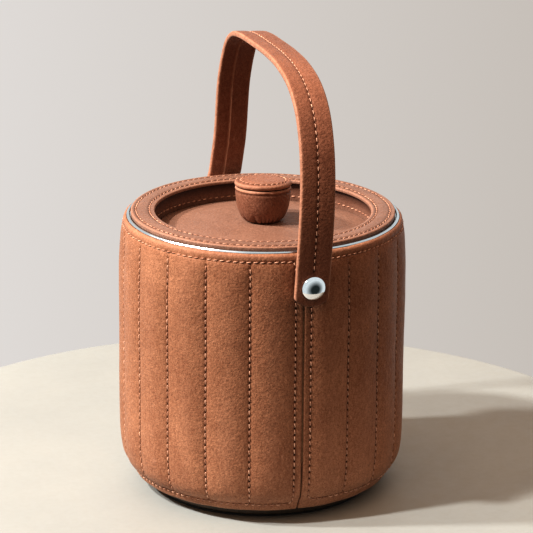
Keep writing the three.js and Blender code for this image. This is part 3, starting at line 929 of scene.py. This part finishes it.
def build_knob_cap(stitching):
    """A flat leather disc with a row of stitches round its edge."""
    row = CAP_R - 0.9
    outline = rounded([
        (0, 204.7, 0), (CAP_R, 204.7, 0), (CAP_R, KNOB_TOP - 0.6, 0.7), (10, KNOB_TOP, 0), (0, KNOB_TOP, 0),
    ], 0.6)

    def shape(r, z, degrees):
        upper = smoothstep(206.4, 207.1, z)
        near = np.abs(r - row)
        pit = needle_pit(near, degrees / 360 * CAP_STITCHES)
        x, y = r * np.sin(np.radians(degrees)), r * np.cos(np.radians(degrees))
        return r, z - upper * (0.45 * groove(near, 1.0) + 0.5 * pit + 0.1 * (1 + sway(x, y, 6)))

    def marks(r, z, degrees):
        near = np.abs(r - row)
        pit = needle_pit(near, degrees / 360 * CAP_STITCHES)
        # Painted shade in the groove and the needle holes of the row.
        return {"crease": np.clip(0.5 * groove(near, 0.8) + pit, 0, 1), "wear": np.full_like(r, 0.15)}

    knob_piece("knob_cap", outline, 360, False, shape, "knob_cap_leather", marks)
    degrees = np.arange(CAP_STITCHES + 1) * 360 / CAP_STITCHES
    holes = knob_place(row, degrees, KNOB_TOP - 1.1)
    stitching.row(holes, around(0.0, degrees, 1.0), 0.34, 0.5)


# ---- handle ------------------------------------------------------------------------------------
def lean(points):
    """Turns handle points about the studs' axis to where the handle rests."""
    x, y, z = np.moveaxis(np.asarray(points, float), -1, 0)
    up = z - PIVOT_Z
    c, s = math.cos(STRAP_LEAN), math.sin(STRAP_LEAN)
    return np.stack([c * x + s * up, y, PIVOT_Z - s * x + c * up], -1)


def lean_direction(directions):
    return lean(np.asarray(directions) + (0, 0, PIVOT_Z)) - (0, 0, PIVOT_Z)


class Strap:
    """A folded strap. A place on it is u, along its middle line, and a section point (across, out)."""

    EDGE = 1.1
    CREASE = 0.75

    def __init__(self):
        self.line = spline(STRAP_LINE, STITCH / 6)
        self.u = arc_length(self.line)
        slope = np.gradient(self.line, axis=0)
        slope /= np.linalg.norm(slope, axis=1)[:, None]
        self.slope = slope
        self.normal = np.stack([slope[:, 1], -slope[:, 0]], -1)
        self.holes = np.arange(FIRST_STITCH, self.u[-1] - FIRST_STITCH, STITCH)

    def place(self, u, across, out):
        """Where a place on the strap is, with the handle at rest. u may run past either end."""
        inside = np.clip(u, 0, self.u[-1])
        past = u - inside
        s, z = (np.interp(inside, self.u, self.line[:, k]) for k in (0, 1))
        ts, tz = (np.interp(inside, self.u, self.slope[:, k]) for k in (0, 1))
        ns, nz = (np.interp(inside, self.u, self.normal[:, k]) for k in (0, 1))
        bow = STRAP_BOW * smoothstep(262, 206, z) * smoothstep(166, 190, z) * (s < 0)
        s, z = s + past * ts + out * ns, z + past * tz + out * nz
        return lean(np.stack(np.broadcast_arrays(across + bow, -s, z), -1))

    def section(self):
        """A flat oval, anticlockwise from the middle of the outer face."""
        half_w, half_t, edge = STRAP_W / 2, STRAP_T / 2, self.EDGE
        flat = half_w - edge
        near = np.array([0, 0.25, 0.5, 0.8, 1.2, 1.8, 2.6, 3.8, 5.4, 7.2, 9])
        face = np.concatenate([near, [flat]])
        turn = np.linspace(np.pi / 2, 0, 6)[1:]
        corner = [(flat + edge * math.cos(a), half_t - edge + edge * math.sin(a)) for a in turn]
        quarter = np.array([*((a, half_t) for a in face), *corner])
        lower = quarter[::-1] * (1, -1)
        right = np.vstack([quarter, lower])
        left = right[::-1][1:-1] * (-1, 1)
        return np.vstack([right, left])

    def relief(self, u, across, out):
        """The section's height at each place, with one sewn groove outside and one lapped seam inside."""
        half_t = STRAP_T / 2
        outer = smoothstep(0.6, 1.7, out)
        inner = smoothstep(-0.6, -1.7, out)
        near = np.abs(across)
        first, last = self.holes[0], self.holes[-1]
        sewn = smoothstep(first - 9, first - 4, u) * smoothstep(last + 9, last + 4, u)
        phase = (u - first) / STITCH
        down = sewn * (self.CREASE * np.exp(-near / 1.3) + 0.25 * needle_pit(near, phase))
        down += 0.2 * (near / (STRAP_W / 2)) ** 6 + 0.12 * (1 + sway(u, across, 15))
        lap = smoothstep(-1.8, -1.2, across) * np.exp(-np.maximum(across, 0) / 3)
        up = 0.35 * smoothstep(-4, -2, across) * (across < -1.5) - 0.55 * lap
        up = up + 0.2 * (near / (STRAP_W / 2)) ** 6
        return out - outer * np.minimum(down, half_t - 0.5) + inner * up

    def rows(self):
        """Where the rows of points are along the strap, and how full the section is at each."""
        step = STITCH / 6
        even = np.arange(0, self.u[-1] + step / 2, step)
        ends = np.sin(np.linspace(0, np.pi / 2, 6))[1:] * self.EDGE
        thin = np.cos(np.linspace(0, np.pi / 2, 6))[1:]
        u = np.concatenate([-ends[::-1], even * self.u[-1] / even[-1], self.u[-1] + ends])
        return u, np.concatenate([thin[::-1], np.ones(len(even)), thin])

    def round_tips(self, u, across):
        """Draws the strap's edges back at both ends, which rounds its tips."""
        end = self.u[-1]
        sag = np.sqrt(TIP_R**2 - np.minimum(np.abs(across), STRAP_W / 2) ** 2)
        sag = sag - math.sqrt(TIP_R**2 - STRAP_W**2 / 4)
        reach = self.EDGE - sag
        return u + smoothstep(22, 0, u) * reach - smoothstep(end - 22, end, u) * reach

    def marks(self, u, across, out):
        """Painted shade along the stitch row's groove and in its needle holes, worn paler edges, and a
        painted highlight along the inner seam.
        """
        near = np.abs(across)
        phase = (u - self.holes[0]) / STITCH
        sewn = (u > self.holes[0] - 6) & (u < self.holes[-1] + 6)
        crease = (out > 0.8) * sewn * (0.45 * np.exp(-near / 0.7) + 0.5 * needle_pit(near, phase))
        wear = smoothstep(STRAP_W / 2 - 1.5, STRAP_W / 2 - 0.5, near)
        # A painted highlight along the lapped seam on the inner face.
        wear = wear + (out < -0.8) * 1.5 * np.exp(-(((across + 1.4) / 0.45) ** 2))
        return {"crease": np.clip(crease, 0, 1), "wear": 0.75 * np.clip(wear, 0, 1)}

    def build(self):
        section = self.section()
        u, fullness = self.rows()
        grid_u = np.repeat(u[:, None], len(section), axis=1)
        across = np.repeat(section[None, :, 0], len(u), axis=0)
        out = np.repeat(section[None, :, 1], len(u), axis=0)
        thinner = (1 - fullness[:, None]) * self.EDGE
        out = self.relief(grid_u, across, out) * (1 - thinner / (STRAP_T / 2))
        across = across * (1 - thinner / (STRAP_W / 2))
        grid_u = self.round_tips(grid_u, across)
        points = self.place(grid_u, across, out).reshape(-1, 3)
        count, width = grid_u.shape
        faces = grid_faces(count, width, False, True)
        faces.append(list(range(width)))
        faces.append([(count - 1) * width + k for k in reversed(range(width))])
        marks = self.marks(grid_u, across, out)
        make_piece("strap", points, faces, "handle", "strap", marks, ["handle_strap"])

    def build_core(self):
        """The stiffener inside the fold, which bends with it."""
        half_w, half_t = STRAP_W / 2 - 1.8, 0.5
        u = np.linspace(3, self.u[-1] - 3, 181)[:, None]
        across = np.linspace(-half_w, half_w, 9)[None]
        outer = self.place(u, across, half_t)
        inner = self.place(u, across, -half_t)
        points = np.concatenate([outer.reshape(-1, 3), inner.reshape(-1, 3)])
        faces = shell_faces(*outer.shape[:2])
        make_piece("strap_core", points, faces, "handle", "board", replaces=["handle_core"])

    def sew(self, stitching):
        ahead, behind = self.holes + 0.1, self.holes - 0.1
        height = STRAP_T / 2 - self.CREASE - 0.15
        holes = self.place(self.holes, 0.0, height)
        along = self.place(ahead, 0.0, height) - self.place(behind, 0.0, height)
        across = lean_direction(np.broadcast_to((1.0, 0, 0), along.shape))
        normals = np.cross(across, along)
        normals /= np.linalg.norm(normals, axis=1)[:, None]
        middle = np.array([0, 0, 200.0])
        normals *= np.sign(np.sum(normals * (holes - middle), axis=1))[:, None]
        stitching.row(holes, normals, 0.33, 0.12, 0.5)


def build_handle():
    stitching = Stitching((0.6, 1.0))
    strap = Strap()
    strap.build()
    strap.build_core()
    strap.sew(stitching)
    stitching.build("strap_stitching", "handle")


def build_lid():
    stitching = Stitching((0.3, 0.9))
    build_lid_ring(stitching)
    build_lid_well(stitching)
    build_lid_floor()
    build_pan_and_gasket()
    build_knob(stitching)
    stitching.build("lid_stitching", "lid")


# ---- CAD nodes that stay -----------------------------------------------------------------------
ENDS = ("front", "rear")
KEPT = {
    "board": [
        "core_shell", "base_board", "lid_ring_core", "lid_floor_board",
        *(f"seam_backing_{end}" for end in ENDS),
    ],
    "foam": ["insulation_sleeve", "insulation_disc", "lid_insulation"],
    "steel": ["liner_outer_shell"],
    "bolt": [
        "knob_screw", "knob_washer", *(f"base_screw_{number}" for number in range(1, 5)),
        *(f"stud_{part}_{end}" for part in ("spacer", "washer", "nut") for end in ENDS),
    ],
    "brass": [f"handle_eyelet_{end}" for end in ENDS],
    "beech": ["knob_core"],
}


def dress_kept_nodes():
    for material, names in KEPT.items():
        for name in names:
            mesh = frame["nodes"][name].data
            mesh.materials.clear()
            mesh.materials.append(MATERIALS[material])


# ---- stage, light and camera -------------------------------------------------------------------
def build_stage():
    """A round pale table top."""
    outline = rounded([(0, -28, 0), (270, -28, 6), (275, -14, 0), (275, 0, 3), (0, 0, 0)], 60)
    angle = np.arange(256) * 360.0 / 256
    points = around(outline[None, :, 0], angle[:, None], outline[None, :, 1] + 0 * angle[:, None])
    points = points.reshape(-1, 3) + (3.5, 20, 0)
    mesh = bpy.data.meshes.new("table")
    mesh.from_pydata((points * MM).tolist(), [], grid_faces(256, len(outline), True))
    mesh.validate()
    mesh.polygons.foreach_set("use_smooth", [True] * len(mesh.polygons))
    mesh.materials.append(MATERIALS["table"])
    table = bpy.data.objects.new("table", mesh)
    bpy.context.scene.collection.objects.link(table)


TARGET = np.array((0, 0, 0.12))
KEY_DISTANCE = 2.6
KEY_SIZE = 0.16
KEY_COLOUR = (1.0, 0.95, 0.89)
CEILING = (1.0, 0.66, 0.45)
CAMERA_SPOT = (-0.5915, -1.7577, 0.7303)
CAMERA_PITCH = 17.443
CAMERA_ROLL = 0.4355
CAMERA_LENS = 198.6


def from_above(distance, heading, elevation):
    """A place at a distance from the target, towards a heading (from +X towards +Y) and above it."""
    h, e = math.radians(heading), math.radians(elevation)
    direction = np.array((math.cos(h) * math.cos(e), math.sin(h) * math.cos(e), math.sin(e)))
    return TARGET + distance * direction


def key_light(name, heading, elevation, power):
    lamp = bpy.data.lights.new(name, "AREA")
    lamp.shape = "DISK"
    lamp.size = KEY_SIZE
    lamp.energy = power
    lamp.color = KEY_COLOUR
    light = bpy.data.objects.new(name, lamp)
    bpy.context.scene.collection.objects.link(light)
    spot = from_above(KEY_DISTANCE, heading, elevation)
    backward = spot - TARGET
    light.matrix_world = looking(spot, -backward / np.linalg.norm(backward))


def looking(spot, forward, roll=0.0):
    """The matrix of a lamp or camera at a spot that looks forward, turned by roll about that direction."""
    side = np.cross(forward, (0, 0, 1))
    side /= np.linalg.norm(side)
    up = np.cross(side, forward)
    x = math.cos(roll) * side + math.sin(roll) * up
    y = -math.sin(roll) * side + math.cos(roll) * up
    columns = np.eye(4)
    columns[:3, 0], columns[:3, 1], columns[:3, 2], columns[:3, 3] = x, y, -np.asarray(forward), spot
    return Matrix(columns.tolist())


def build_light():
    """Two window-like keys from the left, one further back and lower, and the room's own light."""
    key_light("key_low", 168, 39, 66.0)
    key_light("key_high", 187, 50, 74.0)
    world = bpy.data.worlds.new("room")
    bpy.context.scene.world = world
    world.use_nodes = True
    tree = world.node_tree
    seen = wire(tree, "ShaderNodeLightPath", "Is Camera Ray")
    light = wire(tree, "ShaderNodeMixShader", "Shader", {0: seen, 1: room_light(tree), 2: wall_light(tree)})
    tree.links.new(light, tree.nodes["World Output"].inputs["Surface"])
    view = bpy.context.scene.view_settings
    view.view_transform = "Standard"
    view.gamma = 0.8


def towards(tree, direction):
    """How far the direction that a ray looks in goes along a given direction."""
    look = wire(tree, "ShaderNodeTexCoord", "Generated")
    return wire(tree, "ShaderNodeVectorMath", "Value", {0: look, 1: direction}, operation="DOT_PRODUCT")


def shaded_background(tree, source, ends, colours, strength):
    """A background whose colour runs evenly between two, as the source runs between two values."""
    inputs = {"Value": source, "From Min": ends[0], "From Max": ends[1]}
    share = wire(tree, "ShaderNodeMapRange", "Result", inputs)
    colour = wire(tree, "ShaderNodeMix", 2, {0: share, 6: colours[0], 7: colours[1]}, data_type="RGBA")
    return wire(tree, "ShaderNodeBackground", "Background", {"Color": colour, "Strength": strength})


def room_light(tree):
    """Warm light from the ceiling, and what shiny things mirror: a bright room, dark past the front."""
    ceiling = shaded_background(tree, towards(tree, (0, 0, 1)), (0.25, 1), ((0, 0, 0), CEILING), 1.38)
    room = ((0.8, 0.88, 0.9), (0.03, 0.04, 0.04))
    mirrored = shaded_background(tree, towards(tree, (0.3, -0.9, -0.3)), (0.5, 0.9), room, 1.0)
    seen = wire(tree, "ShaderNodeLightPath", "Is Glossy Ray")
    return wire(tree, "ShaderNodeMixShader", "Shader", {0: seen, 1: ceiling, 2: mirrored})


def wall_light(tree):
    """The pale wall behind, with painted shade that makes it a little darker to the right."""
    heading = math.radians(VIEW_HEADING)
    right = (math.cos(heading), -math.sin(heading), 0)
    pale, darker = srgb(229, 225, 222), srgb(209, 203, 197)
    return shaded_background(tree, towards(tree, right), (-0.09, 0.09), (pale, darker), 1.0)


def build_camera():
    """The camera stands 18.7 degrees to the left of the front stud and looks 17.4 degrees down."""
    heading, pitch = math.radians(VIEW_HEADING), math.radians(CAMERA_PITCH)
    forward = (math.sin(heading) * math.cos(pitch), math.cos(heading) * math.cos(pitch), -math.sin(pitch))
    data = bpy.data.cameras.new("camera")
    data.sensor_width = 36
    data.lens = CAMERA_LENS
    data.clip_end = 20
    camera = bpy.data.objects.new("camera", data)
    bpy.context.scene.collection.objects.link(camera)
    camera.matrix_world = looking(CAMERA_SPOT, np.array(forward), math.radians(CAMERA_ROLL))
    bpy.context.scene.camera = camera


build_camera()
build_stage()
build_light()
build_jacket()
build_tub()
build_foot()
build_studs()
build_lid()
build_handle()
dress_kept_nodes()
